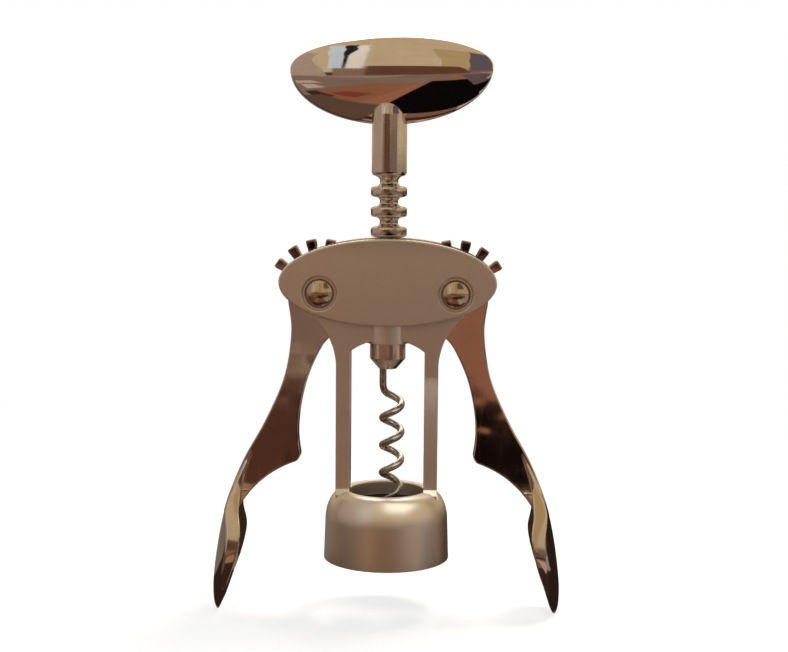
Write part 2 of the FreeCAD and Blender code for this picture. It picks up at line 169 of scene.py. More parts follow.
satinLook = {
    "metal": tint(240, 233, 229),
    "worn": tint(250, 245, 240),
    "clouded": tint(226, 217, 211),
    "paintedShade": tint(112, 92, 76),
    "roughness": 0.36,
    "grain": 2600.0,
    "edge": 0.00035,
    "gapReach": 0.0014,
}
# the bell's painted shade reaches far enough to darken the whole inside of its neck
bellLook = dict(satinLook, roughness=0.35, metal=tint(238, 231, 222), paintedShade=tint(40, 33, 27), gapReach=0.011)
mirrorLook = {
    "metal": tint(232, 222, 212),
    "hazed": tint(206, 194, 182),
    "roughness": 0.04,
    "waves": 30.0,
    "depth": 0.000012,
    "edge": 0.0003,
}
leverLook = {
    "metal": tint(226, 214, 204),
    "hazed": tint(196, 182, 170),
    "roughness": 0.07,
    "waves": 110.0,
    "depth": 0.0004,
    "edge": 0.0003,
    # a darker colour painted on the gear teeth, as a painted reflection of the dark room they face
    "teethReflection": tint(118, 88, 72),
    "teethReflectionFrom": 0.0845,
    "teethReflectionFull": 0.0885,
}
rivetLook = {
    "metal": tint(206, 188, 164),
    "hazed": tint(172, 150, 126),
    "roughness": 0.17,
    "waves": 300.0,
    "depth": 0.00003,
    "edge": 0.0002,
}
rodLook = {"metal": tint(222, 212, 202), "hazed": tint(190, 176, 162), "marks": 9000.0, "roughness": 0.1}
wireLook = {"metal": tint(204, 198, 192), "dark": tint(150, 142, 135), "roughness": 0.2}
steelLook = {"metal": tint(190, 186, 182), "dark": tint(150, 144, 138), "roughness": 0.26}
bushLook = {"body": tint(214, 208, 194), "worn": tint(196, 186, 168), "roughness": 0.42}
linerLook = {"body": tint(52, 47, 43), "worn": tint(74, 68, 63), "roughness": 0.5}


def satinNickel(name, look):
    material, shader = newFinish(name)
    rounded = shader.edgeNormal(look["edge"])
    edges = shader.edgeMask(rounded)
    clouds = shader.ramp(shader.noise(110.0, 4.0), 0.35, 0.7)
    grain = shader.noise(look["grain"], 2.0)
    base = shader.blend(clouds * 0.22, look["metal"], look["clouded"])
    base = shader.blend(edges * 0.6, base, look["worn"])
    # painted shade: the colour darkens towards the paintedShade colour in corners, gaps and recesses, where
    # shade falls
    base = shader.blend(shader.cornerMask(look["gapReach"]) * 0.8, base, look["paintedShade"])
    roughness = look["roughness"] + clouds * 0.05 - edges * 0.1 + (grain - 0.5) * 0.08
    normal = shader.bump(grain, 0.12, 0.00004, rounded)
    closeFinish(shader, {"Base Color": base, "Metallic": 1.0, "Roughness": roughness, "Normal": normal})
    return material


def polishedChrome(name, look):
    material, shader = newFinish(name)
    rounded = shader.edgeNormal(look["edge"])
    smudges = shader.ramp(shader.noise(55.0, 5.0), 0.45, 0.75)
    scratches = shader.ramp(shader.noise(700.0, 2.0, (1.0, 1.0, 0.06)), 0.62, 0.8)
    waves = shader.noise(look["waves"], 1.0)
    base = shader.blend(smudges * 0.4, look["metal"], look["hazed"])
    if "teethReflection" in look:
        # painted dark reflection: the gear teeth, the part above these heights, get a darker colour; the
        # heights are widened so that the ramp's stops lie apart
        height = shader.add("ShaderNodeSeparateXYZ", values={0: shader.place()}, output="Z")
        teeth = shader.ramp(height * 10.0, look["teethReflectionFrom"] * 10, look["teethReflectionFull"] * 10)
        base = shader.blend(teeth * 0.8, base, look["teethReflection"])
    roughness = look["roughness"] + smudges * 0.07 + scratches * 0.06
    normal = shader.bump(waves + scratches * 0.01, 0.5, look["depth"], rounded)
    closeFinish(shader, {"Base Color": base, "Metallic": 1.0, "Roughness": roughness, "Normal": normal})
    return material


def turnedChrome(look):
    material, shader = newFinish("turnedChrome")
    marks = shader.noise(look["marks"], 2.0, (0.02, 0.02, 1.0))
    smudges = shader.ramp(shader.noise(90.0, 4.0), 0.45, 0.75)
    base = shader.blend(smudges * 0.5, look["metal"], look["hazed"])
    roughness = look["roughness"] + smudges * 0.1 + (marks - 0.5) * 0.06
    normal = shader.bump(marks, 0.15, 0.00002)
    closeFinish(shader, {"Base Color": base, "Metallic": 1.0, "Roughness": roughness, "Normal": normal})
    return material


def wormSteel(look):
    material, shader = newFinish("wormSteel")
    patches = shader.ramp(shader.noise(140.0, 3.0), 0.35, 0.7)
    drawn = shader.noise(2200.0, 2.0)
    base = shader.blend(patches, look["metal"], look["dark"])
    roughness = look["roughness"] + patches * 0.1 + (drawn - 0.5) * 0.06
    normal = shader.bump(drawn, 0.06, 0.00003)
    closeFinish(shader, {"Base Color": base, "Metallic": 1.0, "Roughness": roughness, "Normal": normal})
    return material


def plainSteel(look):
    material, shader = newFinish("plainSteel")
    patches = shader.ramp(shader.noise(300.0, 4.0), 0.4, 0.7)
    grain = shader.noise(4000.0, 2.0)
    base = shader.blend(patches * 0.5, look["metal"], look["dark"])
    roughness = look["roughness"] + patches * 0.1
    normal = shader.bump(grain, 0.15, 0.00003)
    closeFinish(shader, {"Base Color": base, "Metallic": 1.0, "Roughness": roughness, "Normal": normal})
    return material


def mouldedPlastic(name, look):
    material, shader = newFinish(name)
    patches = shader.ramp(shader.noise(180.0, 4.0), 0.35, 0.7)
    grain = shader.noise(3500.0, 2.0)
    base = shader.blend(patches * 0.5, look["body"], look["worn"])
    roughness = look["roughness"] + patches * 0.08
    normal = shader.bump(grain, 0.2, 0.00004)
    closeFinish(shader, {"Base Color": base, "Roughness": roughness, "Normal": normal})
    return material


finishes = {
    "satinNickel": satinNickel("satinNickel", satinLook),
    "bellNickel": satinNickel("bellNickel", bellLook),
    "mirrorChrome": polishedChrome("mirrorChrome", mirrorLook),
    "rivetChrome": polishedChrome("rivetChrome", rivetLook),
    "leverChrome": polishedChrome("leverChrome", leverLook),
    "turnedChrome": turnedChrome(rodLook),
    "wormSteel": wormSteel(wireLook),
    "plainSteel": plainSteel(steelLook),
    "bushNylon": mouldedPlastic("bushNylon", bushLook),
    "linerPlastic": mouldedPlastic("linerPlastic", linerLook),
}

carriedOver = {
    "satinNickel": ["frame_casting", "front_cover_plate", "rear_cover_plate"],
    "bellNickel": ["bell"],
    "rivetChrome": ["left_pivot_rivet", "right_pivot_rivet", "left_rivet_cap", "right_rivet_cap"],
    "wormSteel": ["worm"],
    "plainSteel": ["pivot_washers", "bush_retainer"],
    "bushNylon": ["guide_bush"],
    "linerPlastic": ["bell_liner"],
}
for finishName, names in carriedOver.items():
    for name in names:
        for materialSlot in nodes[name].material_slots:
            materialSlot.material = finishes[finishName]
print("finishes on the carried-over nodes")


# Shape helpers

def smoothThrough(rows, place):
    # the rows' values at a fractional row number, on a smooth curve through all rows
    index = min(int(place), len(rows) - 2)
    share = place - index
    before = rows[max(index - 1, 0)]
    start, end = rows[index], rows[index + 1]
    after = rows[min(index + 2, len(rows) - 1)]
    result = []
    for p0, p1, p2, p3 in zip(before, start, end, after):
        slopeIn, slopeOut = (p2 - p0) / 2, (p3 - p1) / 2
        a = 2 * p1 - 2 * p2 + slopeIn + slopeOut
        b = -3 * p1 + 3 * p2 - 2 * slopeIn - slopeOut
        result.append(((a * share + b) * share + slopeIn) * share + p1)
    return result


def splineEdge(points, stepsEach=10):
    count = (len(points) - 1) * stepsEach
    return [tuple(smoothThrough(points, i / stepsEach)) for i in range(count + 1)]


def arcThrough(start, middle, end, steps):
    ax, ay = start
    bx, by = middle
    cx, cy = end
    d = 2 * (ax * (by - cy) + bx * (cy - ay) + cx * (ay - by))
    aa, bb, cc = ax * ax + ay * ay, bx * bx + by * by, cx * cx + cy * cy
    ux = (aa * (by - cy) + bb * (cy - ay) + cc * (ay - by)) / d
    uy = (aa * (cx - bx) + bb * (ax - cx) + cc * (bx - ax)) / d
    radius = math.hypot(ax - ux, ay - uy)
    first = math.atan2(ay - uy, ax - ux)
    half = (math.atan2(by - uy, bx - ux) - first) % (2 * math.pi)
    whole = (math.atan2(cy - uy, cx - ux) - first) % (2 * math.pi)
    if half > whole:
        whole -= 2 * math.pi
    angles = [first + whole * i / steps for i in range(steps + 1)]
    return [(ux + radius * math.cos(a), uy + radius * math.sin(a)) for a in angles]


def softened(points, radius, steps=4):
    # the same open path with each corner replaced by a short curve
    nothing = 1e-6
    nearlyStraight = math.radians(168)
    longestShare = 0.45
    result = [points[0]]
    for before, point, after in zip(points, points[1:], points[2:]):
        here = Vector(point)
        back, ahead = Vector(before) - here, Vector(after) - here
        if back.length < nothing or ahead.length < nothing or back.angle(ahead) > nearlyStraight:
            result.append(point)
            continue
        start = here + back.normalized() * min(radius, back.length * longestShare)
        end = here + ahead.normalized() * min(radius, ahead.length * longestShare)
        for step in range(steps + 1):
            t = step / steps
            result.append(tuple(start * (1 - t) ** 2 + here * 2 * t * (1 - t) + end * t * t))
    result.append(points[-1])
    return result


def addPiece(name, mesh, body, node, finish):
    piece = bpy.data.objects.new(name, mesh)
    bpy.context.scene.collection.objects.link(piece)
    mesh.materials.clear()
    mesh.materials.append(finishes[finish])
    for polygon in mesh.polygons:
        polygon.use_smooth = True
    weighted = piece.modifiers.new("flatFacesFirst", "WEIGHTED_NORMAL")
    weighted.keep_sharp = True
    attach(piece, body)
    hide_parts(node)
    return piece


def meshFrom(sculpt, name):
    weldReach = 1e-6
    bmesh.ops.remove_doubles(sculpt, verts=sculpt.verts, dist=weldReach)
    bmesh.ops.recalc_face_normals(sculpt, faces=sculpt.faces)
    mesh = bpy.data.meshes.new(name)
    sculpt.to_mesh(mesh)
    sculpt.free()
    return mesh


def bridge(sculpt, rings):
    count = len(rings[0])
    for low, high in zip(rings, rings[1:]):
        for i in range(count):
            j = (i + 1) % count
            sculpt.faces.new((low[i], low[j], high[j], high[i]))


# Handle: a lens standing on edge, its rim a little rounded

handleShape = {
    "halfWidth": 30.35,
    "centreHeight": 144.85,
    "rise": 9.2,
    "drop": 16.3,
    "halfDepth": 5.6,
    "bulgeShare": 0.5,
    "rimRound": 0.45,
    "turn": -12.0,
    "rings": 56,
    "spokes": 192,
}


def lensDepth(share, shape):
    depth, bulge, rim = shape["halfDepth"], shape["bulgeShare"], shape["rimRound"]
    shallow = 1 - (1 - bulge ** 2) * share * share
    lens = depth / (1 - bulge) * (math.sqrt(shallow) - bulge)
    rounded = math.sqrt(max((lens + rim) ** 2 - rim * rim, 0.0))
    return rounded * depth / math.sqrt((depth + rim) ** 2 - rim * rim)


def buildHandle(shape):
    sculpt = bmesh.new()
    turn = math.radians(shape["turn"])
    for side in (-1, 1):
        rings = []
        for ring in range(shape["rings"] + 1):
            share = math.sin(ring / shape["rings"] * math.pi / 2)
            depth = side * lensDepth(share, shape)
            row = []
            for spoke in range(shape["spokes"]):
                angle = 2 * math.pi * spoke / shape["spokes"]
                height = shape["rise"] if math.sin(angle) > 0 else shape["drop"]
                x = shape["halfWidth"] * share * math.cos(angle)
                z = height * share * math.sin(angle) + shape["centreHeight"]
                across = x * math.cos(turn) - depth * math.sin(turn)
                away = x * math.sin(turn) + depth * math.cos(turn)
                row.append(sculpt.verts.new(Vector((across, away, z)) * mm))
            rings.append(row)
        bridge(sculpt, rings)
    mesh = meshFrom(sculpt, "crossHandle")
    addPiece("crossHandle", mesh, "spindle", "handle", "mirrorChrome")


buildHandle(handleShape)
print("handle")


# Rack spindle: turned in one piece, domed at the top, ringed where the wings drive it

rodShape = {
    "ringRadius": 5.3,
    "stemRadius": 5.15,
    "coreRadius": 2.7,
    "bottom": 56.9,
    "noseRadius": 2.6,
    "noseHeight": 3.1,
    "domeCentre": 131.35,
    "firstGroove": -1,
    "lastGroove": 5,
    "grooveBase": 82.611,
    "pitch": 5.8905,
    "pitchLine": 4.8,
    "backlash": 0.12,
    "flank": 13.0,
    "chamfer": 0.35,
    "fillet": 0.5,
    "stemEdge": 1.2,
    "soften": 0.16,
    "edgeSteps": 8,
    "domeSteps": 24,
    "spokes": 128,
}


def rodProfile(shape):
    def grooveHalf(radius):
        slope = math.tan(math.radians(shape["flank"]))
        return (shape["pitch"] / 2 + shape["backlash"]) / 2 + (radius - shape["pitchLine"]) * slope

    def grooveSide(number, side):
        height = shape["grooveBase"] + number * shape["pitch"]
        shoulder = shape["ringRadius"] - shape["chamfer"]
        foot = shape["coreRadius"] + shape["fillet"]
        return [
            (shape["ringRadius"], height + side * (grooveHalf(shape["ringRadius"]) + shape["chamfer"])),
            (shoulder, height + side * grooveHalf(shoulder)),
            (foot, height + side * grooveHalf(foot)),
            (shape["coreRadius"], height + side * (grooveHalf(shape["coreRadius"]) - shape["fillet"])),
        ]

    points = [(0.0, shape["bottom"]), (shape["noseRadius"], shape["bottom"])]
    points.append((shape["ringRadius"], shape["bottom"] + shape["noseHeight"]))
    for number in range(shape["firstGroove"], shape["lastGroove"] + 1):
        points += grooveSide(number, -1)
        points += grooveSide(number, 1)[::-1]
    points = points[:-1]
    stemBottom = shape["grooveBase"] + shape["lastGroove"] * shape["pitch"] + grooveHalf(shape["stemRadius"])
    edge, stem = shape["stemEdge"], shape["stemRadius"]
    points[-1] = (stem - edge, stemBottom)
    path = softened(points, shape["soften"])
    for step in range(1, shape["edgeSteps"] + 1):
        angle = math.radians(90 * step / shape["edgeSteps"])
        path.append((stem - edge + edge * math.sin(angle), stemBottom + edge - edge * math.cos(angle)))
    for step in range(shape["domeSteps"] + 1):
        angle = math.radians(90 * step / shape["domeSteps"])
        path.append((stem * math.cos(angle), shape["domeCentre"] + stem * math.sin(angle)))
    return path


def buildRod(shape):
    sculpt = bmesh.new()
    rings = []
    for radius, height in rodProfile(shape):
        row = []
        for spoke in range(shape["spokes"]):
            angle = 2 * math.pi * spoke / shape["spokes"]
            place = Vector((radius * math.cos(angle), radius * math.sin(angle), height))
            row.append(sculpt.verts.new(place * mm))
        rings.append(row)
    bridge(sculpt, rings)
    mesh = meshFrom(sculpt, "spindleRod")
    addPiece("spindleRod", mesh, "spindle", "rack_spindle", "turnedChrome")


buildRod(rodShape)
print("spindle rod")


# Wings: geared head, flat web with rounded edges, and a hollow leaf for the thumb

wingShape = {
    "pivotX": 19.8,
    "pivotHeight": 79.6,
    "pitchRadius": 15.0,
    "outerRadius": 15.6,
    "rootRadius": 11.7,
    "teethPerTurn": 16,
    "pressure": 13.0,
    "backlash": 0.12,
    "meshAngle": 11.5,
    "firstTooth": -2,
    "lastTooth": 6,
    "bore": 2.56,
    "halfDepth": 2.5,
    "edgeRound": 0.4,
    "shoulder": (9.6, -3.0),
    "outerEdge": [(8.7, -12.0), (10.7, -25.0), (16.2, -38.0), (22.8, -50.0), (27.2, -60.5)],
    "endOuter": (28.9, -66.0),
    "endInner": (24.2, -64.8),
    "sweepMiddle": (15.1, -54.7),
    "hip": (5.9, -50.3),
    "hipRound": 1.6,
    "hipDrop": 0.533,
    "innerEdge": [(6.6, -42.0), (5.9, -34.0), (3.7, -25.0), (-0.1, -16.7)],
    "throat": (-2.7, -13.4),
    "rootSoften": 0.5,
    "flankSteps": 5,
    "sweepSteps": 24,
    "hipSteps": 6,
    "boreSteps": 64,
}
leafStations = [
    # crest x and z, rim x and z, half width, rim thickness
    (19.9, -45.2, 19.3, -45.5, 2.2, 0.4),
    (22.8, -50.0, 21.1, -50.7, 2.7, 0.9),
    (26.1, -57.5, 23.2, -58.5, 3.5, 2.2),
    (28.5, -64.5, 23.9, -65.2, 5.6, 3.9),
    (30.3, -72.5, 23.2, -72.2, 8.3, 3.9),
    (31.6, -80.8, 24.8, -80.0, 9.3, 3.0),
    (32.3, -88.0, 27.3, -87.3, 8.2, 1.3),
    (32.2, -93.4, 29.2, -93.1, 5.2, 0.8),
    (31.5, -96.2, 30.6, -96.2, 1.7, 0.5),
]
creaseShape = {
    "start": (21.1, -59.4),
    "end": (23.9, -59.7),
    "halfHeight": 0.32,
    "reach": 0.28,
    "steps": 10,
    "sides": 8,
    "endShare": 0.02,
}
leafShape = {
    "hollowShare": 0.12,
    "cornerRound": 0.45,
    "roundOfRim": 0.35,
    "roundOfWidth": 0.2,
    "cornerSteps": 4,
    "stepsEach": 9,
    "innerSteps": 16,
    "outerSteps": 22,
}


def gearPoint(radius, angle):
    return (-radius * math.cos(angle), radius * math.sin(angle))


def gearOutline(shape):
    pressure = math.radians(shape["pressure"])
    baseRadius = shape["pitchRadius"] * math.cos(pressure)
    pitch = 2 * math.pi / shape["teethPerTurn"]
    baseHalf = pitch / 4 - shape["backlash"] / 2 / shape["pitchRadius"] + math.tan(pressure) - pressure
    points = []
    for number in range(shape["firstTooth"], shape["lastTooth"] + 1):
        centre = math.radians(shape["meshAngle"]) + number * pitch
        flank = [(shape["rootRadius"], baseHalf)]
        for step in range(shape["flankSteps"] + 1):
            radius = baseRadius + (shape["outerRadius"] - baseRadius) * step / shape["flankSteps"]
            roll = math.acos(min(baseRadius / radius, 1.0))
            flank.append((radius, baseHalf - (math.tan(roll) - roll)))
        points += [gearPoint(radius, centre - half) for radius, half in flank]
        points += [gearPoint(radius, centre + half) for radius, half in reversed(flank)]
    return points


def wingOutline(shape):
    hip = Vector(shape["hip"])
    hipSide = tuple(hip + Vector((0, shape["hipRound"])))
    sweepStart = tuple(hip + Vector((shape["hipRound"], -shape["hipDrop"])))
    corner = tuple((Vector(hipSide) + Vector(sweepStart) + hip) / 3)
    points = softened(gearOutline(shape), shape["rootSoften"])
    points += splineEdge([shape["shoulder"]] + shape["outerEdge"] + [shape["endOuter"]])
    points += arcThrough(shape["endInner"], shape["sweepMiddle"], sweepStart, shape["sweepSteps"])
    points += arcThrough(sweepStart, corner, hipSide, shape["hipSteps"])[1:]
    points += splineEdge([hipSide] + shape["innerEdge"] + [shape["throat"]])[1:]
    return points


def flatPart(outlines, halfDepth, edgeRound):
    # a plate in the XZ plane from closed outlines, rounded along every edge
    curve = bpy.data.curves.new("plateOutline", "CURVE")
    curve.dimensions = "2D"
    curve.fill_mode = "BOTH"
    for outline in outlines:
        spline = curve.splines.new("POLY")
        spline.points.add(len(outline) - 1)
        for point, (x, z) in zip(spline.points, outline):
            point.co = (x * mm, z * mm, 0.0, 1.0)
        spline.use_cyclic_u = True
    curve.extrude = (halfDepth - edgeRound) * mm
    curve.bevel_depth = edgeRound * mm
    curve.bevel_resolution = 3
    curve.offset = -edgeRound * mm
    holder = bpy.data.objects.new("plateOutline", curve)
    bpy.context.scene.collection.objects.link(holder)
    mesh = bpy.data.meshes.new_from_object(holder.evaluated_get(bpy.context.evaluated_depsgraph_get()))
    bpy.data.objects.remove(holder)
    mesh.transform(Matrix.Rotation(math.radians(90), 4, "X"))
    return mesh


def bowed(across, halfWidth, sag):
    radius = (halfWidth * halfWidth + sag * sag) / (2 * sag)
    return math.sqrt(max(radius * radius - across * across, 0.0)) - radius + sag


def leafRing(values, shape):
    # the closed section of the leaf at one station, as (x, y, z)
    crest, rim = Vector((values[0], values[1])), Vector((values[2], values[3]))
    halfWidth, rimThick = values[4], values[5]
    depth = (crest - rim).length
    outward = (crest - rim).normalized()
    edgeRound = min(shape["cornerRound"], rimThick * shape["roundOfRim"], halfWidth * shape["roundOfWidth"])
    hollow = depth * shape["hollowShare"]
    flat = []
    for i in range(shape["innerSteps"] + 1):
        across = (halfWidth - edgeRound) * (1 - 2 * i / shape["innerSteps"])
        flat.append((hollow * (1 - (across / halfWidth) ** 2), across))
    for i in range(1, shape["cornerSteps"]):
        angle = math.radians(90 * i / shape["cornerSteps"])
        flat.append((edgeRound * (1 - math.cos(angle)), -halfWidth + edgeRound * (1 - math.sin(angle))))
    flat.append((edgeRound, -halfWidth))
    flat.append((rimThick - edgeRound, -halfWidth))
    for i in range(shape["outerSteps"] + 1):
        across = (halfWidth - edgeRound * 0.5) * (2 * i / shape["outerSteps"] - 1)
        flat.append((rimThick + bowed(across, halfWidth, max(depth - rimThick, 0.05)), across))
    flat.append((rimThick - edgeRound, halfWidth))
    flat.append((edgeRound, halfWidth))
    for i in range(1, shape["cornerSteps"]):
        angle = math.radians(90 * (shape["cornerSteps"] - i) / shape["cornerSteps"])
        flat.append((edgeRound * (1 - math.cos(angle)), halfWidth - edgeRound * (1 - math.sin(angle))))
    return [(rim.x + outward.x * out, across, rim.y + outward.y * out) for out, across in flat]


def addCrease(sculpt, shape, halfDepth):
    # a fine pressed ridge across both faces of the web, just above the leaf
    start, end = Vector(shape["start"]), Vector(shape["end"])
    across = Vector((start.y - end.y, end.x - start.x)).normalized()
    for face in (-1, 1):
        rings = []
        for step in range(shape["steps"] + 1):
            share = step / shape["steps"]
            inside = min(max(share, shape["endShare"]), 1 - shape["endShare"])
            swell = math.sin(math.pi * inside) ** 0.5
            place = start.lerp(end, share)
            ring = []
            for i in range(shape["sides"]):
                angle = 2 * math.pi * i / shape["sides"]
                spot = place + across * shape["halfHeight"] * swell * math.cos(angle)
                out = face * (halfDepth + shape["reach"] * swell * math.sin(angle))
                ring.append(sculpt.verts.new(Vector((spot.x, out, spot.y)) * mm))
            rings.append(ring)
        bridge(sculpt, rings)
        sculpt.faces.new(rings[0])
        sculpt.faces.new(rings[-1])


def buildWing(name, node, body, side):
    pivot = Vector((side * wingShape["pivotX"], 0, wingShape["pivotHeight"])) * mm
    turns = [2 * math.pi * i / wingShape["boreSteps"] for i in range(wingShape["boreSteps"])]
    bore = [(wingShape["bore"] * math.cos(turn), wingShape["bore"] * math.sin(turn)) for turn in turns]
    web = flatPart([wingOutline(wingShape), bore], wingShape["halfDepth"], wingShape["edgeRound"])
    sculpt = bmesh.new()
    sculpt.from_mesh(web)
    rings = []
    for step in range((len(leafStations) - 1) * leafShape["stepsEach"] + 1):
        values = smoothThrough(leafStations, step / leafShape["stepsEach"])
        rings.append([sculpt.verts.new(Vector(place) * mm) for place in leafRing(values, leafShape)])
    bridge(sculpt, rings)
    sculpt.faces.new(rings[0])
    sculpt.faces.new(rings[-1])
    addCrease(sculpt, creaseShape, wingShape["halfDepth"])
    for vert in sculpt.verts:
        vert.co = Vector((side * vert.co.x, vert.co.y, vert.co.z)) + pivot
    addPiece(name, meshFrom(sculpt, name), body, node, "leverChrome")


buildWing("leftLever", "left_wing", "left_lever", -1)
buildWing("rightLever", "right_wing", "right_lever", 1)
print("wings")


# Camera: the photograph's place and lens

cameraSetup = {"place": (11.5, -400.0, 110.75), "pitch": 5.88, "yaw": 1.39, "roll": 0.513, "lens": 62.06}


def buildCamera(setup):
    camera = bpy.data.objects.new("pictureCamera", bpy.data.cameras.new("pictureCamera"))
    bpy.context.scene.collection.objects.link(camera)
    camera.data.sensor_width = 36.0
    camera.data.lens = setup["lens"]
    camera.data.clip_start = 0.01
    turn = Matrix.Rotation(math.radians(setup["yaw"]), 4, "Z")
    tilt = Matrix.Rotation(math.radians(90 - setup["pitch"]), 4, "X")
    roll = Matrix.Rotation(math.radians(setup["roll"]), 4, "Z")
    camera.matrix_world = Matrix.Translation(Vector(setup["place"]) * mm) @ turn @ tilt @ roll
    bpy.context.scene.camera = camera


buildCamera(cameraSetup)


# Studio: pale floor, white surround, soft lamps, and a warm room for the metal to mirror

studio = {
    "floorSpan": 16.0,
    "floorColour": tint(244, 243, 241),
    "shadowDepth": 0.24,
    "shadowReach": (0.14, 0.42),
    "skyFill": 0.6,
    "lamps": [
        # name, place, width, power in watts, tint
        ("overheadSoft", (0.3, 0.2, 0.9), 0.3, 8.5, (1.0, 0.97, 0.92)),
        ("overheadSmall", (-0.1, 0.24, 0.92), 0.12, 2.4, (1.0, 0.98, 0.95)),
    ],
}
room = {
    "radius": 2.6,
    "cardStep": 0.02,
    "windowInset": 0.4,
    "tableLift": 0.0003,
    "matStep": 0.00005,
    "wallPatches": 2.0,
    "doorPatches": 8.0,
    "tablePatches": 14.0,
    "wallColour": tint(202, 180, 148),
    "tableColour": tint(160, 136, 120),
    "cards": [
        # name, colour, and (turn, rise) of its left and right ends, row by row from low to high
        ("lowWall", tint(70, 54, 45),
         [(40, -4), (320, -4)], [(40, -1.2), (320, -1.2)], [(40, 1.6), (320, 1.6)]),
        ("pinkWall", tint(174, 154, 138),
         [(-125, -4), (-48, -4)], [(-125, 24), (-60, 24)], [(-125, 52), (-80, 52)]),
        ("warmWall", tint(184, 158, 114),
         [(-6, 1), (10, 1)], [(-6, 30), (12, 30)], [(-12, 66), (30, 66)]),
        ("doorFoot", tint(122, 103, 98),
         [(9, -5), (52, -5)], [(9, 0), (52, 0)], [(9, 5.2), (52, 5.2)]),
        ("paleFrame", tint(210, 192, 160),
         [(60, 1.6), (98, 1.6)], [(60, 5), (98, 5)], [(60, 9), (98, 9)]),
        ("skirting", tint(98, 68, 56),
         [(-16, -8), (10, -8)], [(-16, -3.6), (10, -3.6)], [(-16, 0.8), (10, 0.8)]),
        ("woodPanel", tint(140, 112, 92),
         [(-46, -4), (-33, -4)], [(-46, 4), (-33, 3)], [(-46, 10), (-33, 9)]),
        ("darkCabinet", tint(100, 68, 54),
         [(-33, -4), (8, -4)], [(-33, 3), (8, 2)], [(-32, 9), (3, 6)]),
        ("windowPane", tint(204, 216, 226), [(-48.4, 5.9), (-41.7, 5.6)], [(-50.5, 24.3), (-43.1, 22.7)],
         [(-60.3, 43.7), (-49.5, 41.7)], [(-87.6, 59.3), (-67.6, 59.4)], [(-123.2, 60.9), (-98.9, 66.6)]),
        ("windowBar", tint(40, 38, 42), [(-41.7, 5.6), (-40.4, 5.5)], [(-43.1, 22.7), (-41.2, 22.3)],
         [(-49.5, 41.7), (-46.5, 41.2)], [(-67.6, 59.4), (-56.8, 59.0)], [(-98.9, 66.6), (-82.6, 68.7)]),
        ("paleCurtain", tint(238, 232, 220), [(-40.4, 5.5), (-33.6, 5.2)], [(-41.2, 22.3), (-34.0, 21.1)],
         [(-46.5, 41.2), (-37.7, 40.0)], [(-56.8, 59.0), (-48.6, 58.8)], [(-82.6, 68.7), (-71.0, 69.9)]),
    ],
    # a bright window behind the part: colour, strength, rows
    "backWindow": ((1.0, 0.95, 0.86, 1.0), 3.0,
                   [(146, 34), (214, 34)], [(146, 48), (214, 48)], [(146, 61), (214, 61)]),
    # a door that only the handle's right end mirrors: colour, middle, radius, rows
    "nearDoor": (tint(100, 90, 100), (0.026, -0.004, 0.146), 0.1,
                 [(7.5, -2), (60, -2)], [(7.5, 14), (60, 14)], [(8, 30), (60, 30)], [(16, 62), (80, 62)]),
    "mats": [
        # name, colour, left, right, near and far edge on the table
        ("farShade", tint(136, 106, 91), -0.7, 0.7, -1.25, -2.5),
        ("dimBoard", tint(132, 107, 93), -0.2, 0.0, -0.62, -1.25),
        ("farBoard", tint(150, 102, 78), 0.0, 0.14, -0.4, -1.25),
        ("greyMat", tint(98, 86, 90), 0.14, 0.75, -0.3, -1.6),
        ("paleRug", tint(192, 166, 136), 0.36, 1.6, -0.02, -0.6),
        ("pinkCloth", tint(134, 112, 100), -2.5, -0.16, -0.012, -1.25),
        ("orangeRug", tint(146, 98, 74), -0.42, -0.16, -0.16, -0.7),
        ("paleNapkin", tint(186, 166, 156), -0.9, -0.66, -0.1, -0.5),
        ("palePlate", tint(192, 176, 168), -0.6, -0.44, -0.17, -0.34),
        ("darkBowl", tint(62, 46, 44), -0.38, -0.25, -0.1, -0.2),
        ("redCup", tint(132, 62, 50), -0.3, -0.2, -0.22, -0.32),
        ("leftShade", tint(52, 38, 31), -1.6, -0.04, 0.03, -0.012),
        ("centreShade", tint(54, 39, 31), -0.04, 0.04, 0.32, 0.02),
        ("paleBack", tint(126, 117, 108), -0.6, -0.04, 0.3, 0.03),
        ("rightShade", tint(46, 34, 29), 0.04, 1.6, 0.32, -0.012),
        ("orangeBoard", tint(156, 104, 80), -0.16, -0.1, -0.17, -0.62),
        ("brownRunner", tint(84, 52, 40), -0.1, -0.045, -0.17, -0.49),
        ("blackTray", tint(14, 9, 9), -0.045, 0.5, -0.17, -0.4),
        ("nearShade", tint(60, 42, 34), -0.12, 0.12, -0.012, -0.06),
        ("nearBrown", tint(98, 76, 62), -0.3, -0.085, 0.0, -0.17),
        ("nearOrange", tint(168, 128, 98), -0.085, -0.035, -0.06, -0.17),
        ("nearMiddle", tint(128, 93, 72), -0.035, 0.055, -0.06, -0.17),
        ("nearPink", tint(196, 168, 148), 0.055, 0.115, -0.04, -0.17),
        ("nearGrey", tint(162, 152, 154), 0.115, 0.5, 0.02, -0.17),
    ],
    # one-sided sheets over the table: colour, strength, left, right, near, far, height, seen from above
    "sheets": [
        ("darkSheet", tint(12, 9, 9), 1.0, -0.03, 0.06, -0.03, -0.26, 0.107, True),
        ("shoulderGlow", tint(255, 246, 228), 1.5, -0.002, 0.044, -0.014, -0.062, 0.072, False),
    ],
}


def stageObject(name, points, faces, build):
    mesh = bpy.data.meshes.new(name)
    mesh.from_pydata(points, [], faces)
    item = bpy.data.objects.new(name, mesh)
    bpy.context.scene.collection.objects.link(item)
    material, shader = newFinish(name)
    surface = build(shader)
    shader.add("ShaderNodeOutputMaterial", values={"Surface": surface})
    mesh.materials.append(material)
    return item


def flatSheet(left, right, near, far, height):
    corners = [(left, near, height), (right, near, height), (right, far, height), (left, far, height)]
    return corners, [(0, 1, 2, 3)]


